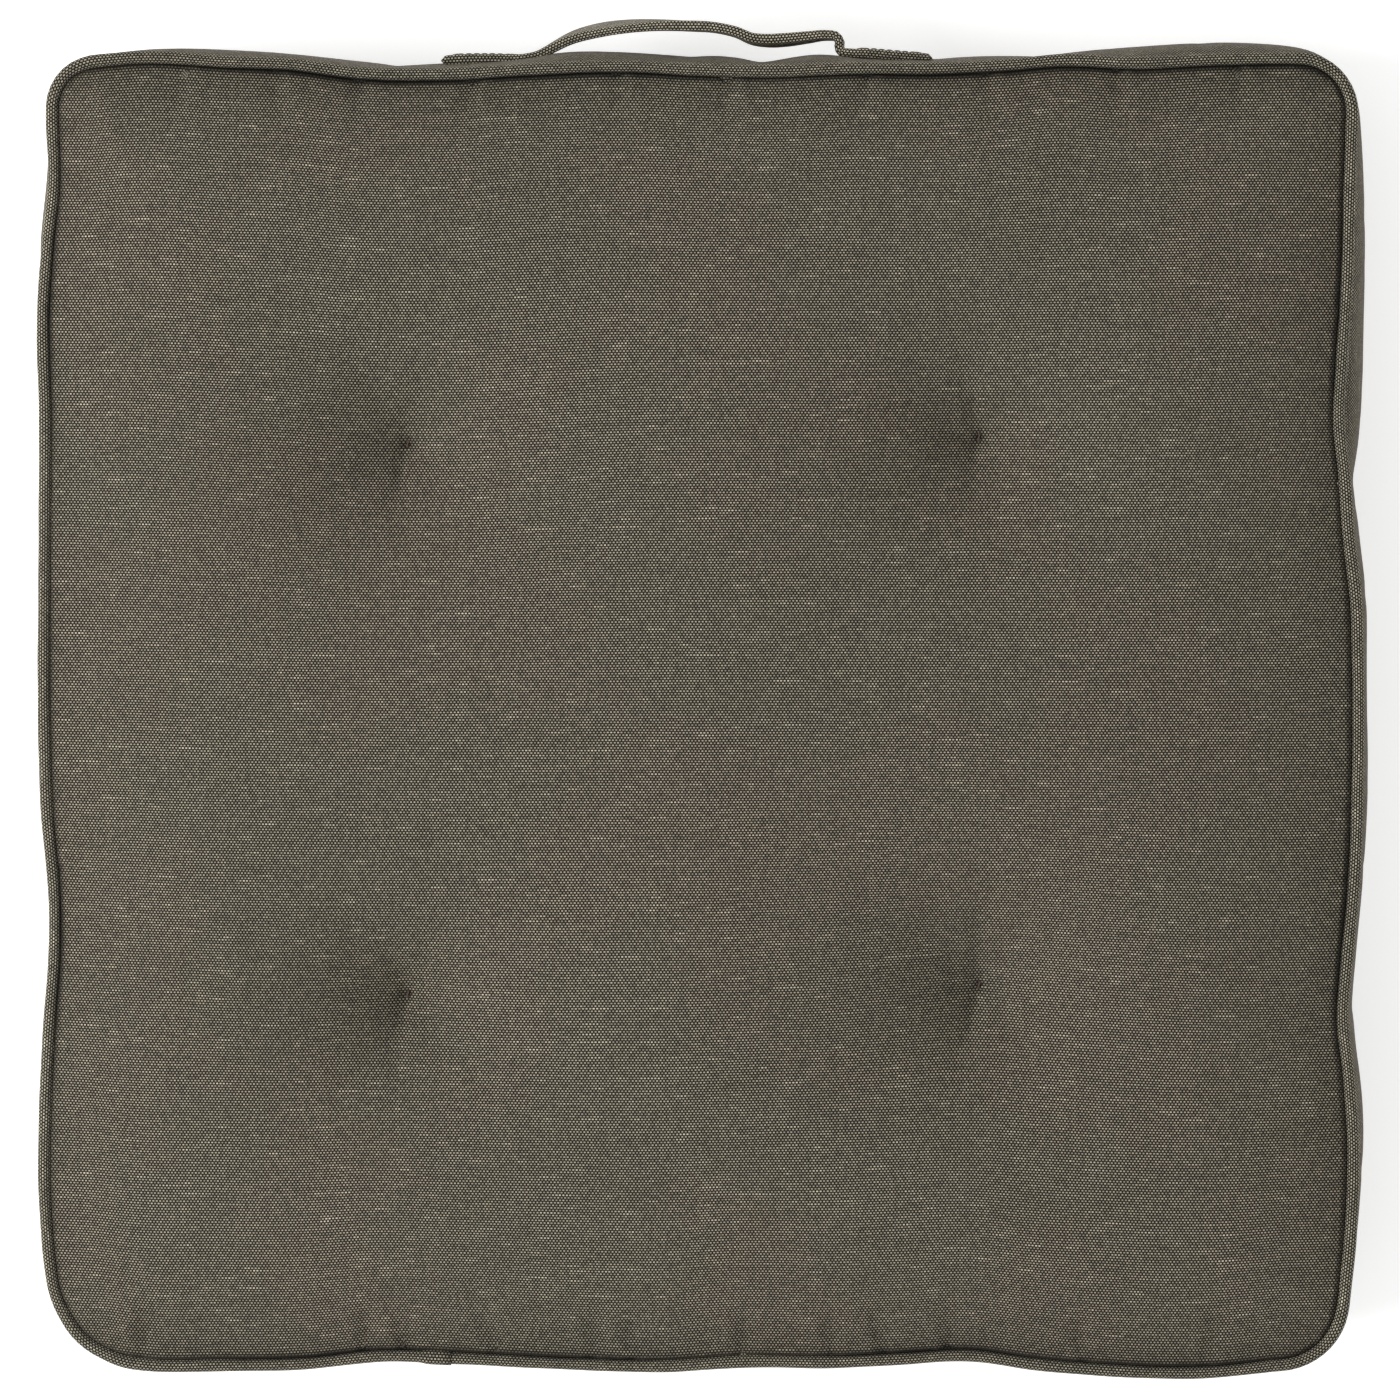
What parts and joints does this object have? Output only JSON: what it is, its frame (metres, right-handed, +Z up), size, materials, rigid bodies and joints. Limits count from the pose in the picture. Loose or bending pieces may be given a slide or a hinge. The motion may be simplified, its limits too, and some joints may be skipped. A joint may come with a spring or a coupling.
{
  "type": "floor cushion",
  "caption": "Square box cushion in woven canvas with piped seams, thread tufts and a fabric carry handle on one side, for sitting on the floor.",
  "frame": {"origin": "centre of the cushion's flat underside, on the floor, midway between the seams", "axes": "+Z up from the floor through the crown, +Y towards the side that carries the handle, +X to the right seen from above with the handle at the far side"},
  "size_m": [0.504, 0.519, 0.1053],
  "materials": {
    "cover_canvas": "matte",
    "piping_canvas": "matte",
    "strap_canvas": "matte",
    "piping_cord": "matte",
    "fibre_filling": "matte",
    "tuft_thread": "satin",
    "sewing_thread": "satin"
  },
  "bodies": {
    "cushion": {"top_panel": "cover_canvas", "bottom_panel": "cover_canvas", "boxing_front": "cover_canvas", "boxing_back": "cover_canvas", "boxing_left": "cover_canvas", "boxing_right": "cover_canvas", "piping_cover_top": "piping_canvas", "piping_cover_bottom": "piping_canvas", "piping_cord_top": "piping_cord", "piping_cord_bottom": "piping_cord", "filling": "fibre_filling", "tuft_tie_back_left": "tuft_thread", "tuft_tie_back_right": "tuft_thread", "tuft_tie_front_left": "tuft_thread", "tuft_tie_front_right": "tuft_thread", "seam_thread_top": "sewing_thread", "seam_thread_bottom": "sewing_thread", "corner_seam_thread_front_left": "sewing_thread", "corner_seam_thread_front_right": "sewing_thread", "corner_seam_thread_back_right": "sewing_thread", "corner_seam_thread_back_left": "sewing_thread", "handle_end_left": "strap_canvas", "handle_end_right": "strap_canvas", "handle_stitching_left": "sewing_thread", "handle_stitching_right": "sewing_thread"},
    "handle": {"handle_loop": "strap_canvas"}
  },
  "joints": [
    {"name": "handle_swing", "type": "hinge", "parent": "cushion", "child": "handle", "pos_m": [0, 0.25405, 0.051], "axis": [1, 0, 0], "range_deg": [-35, 35]}
  ]
}
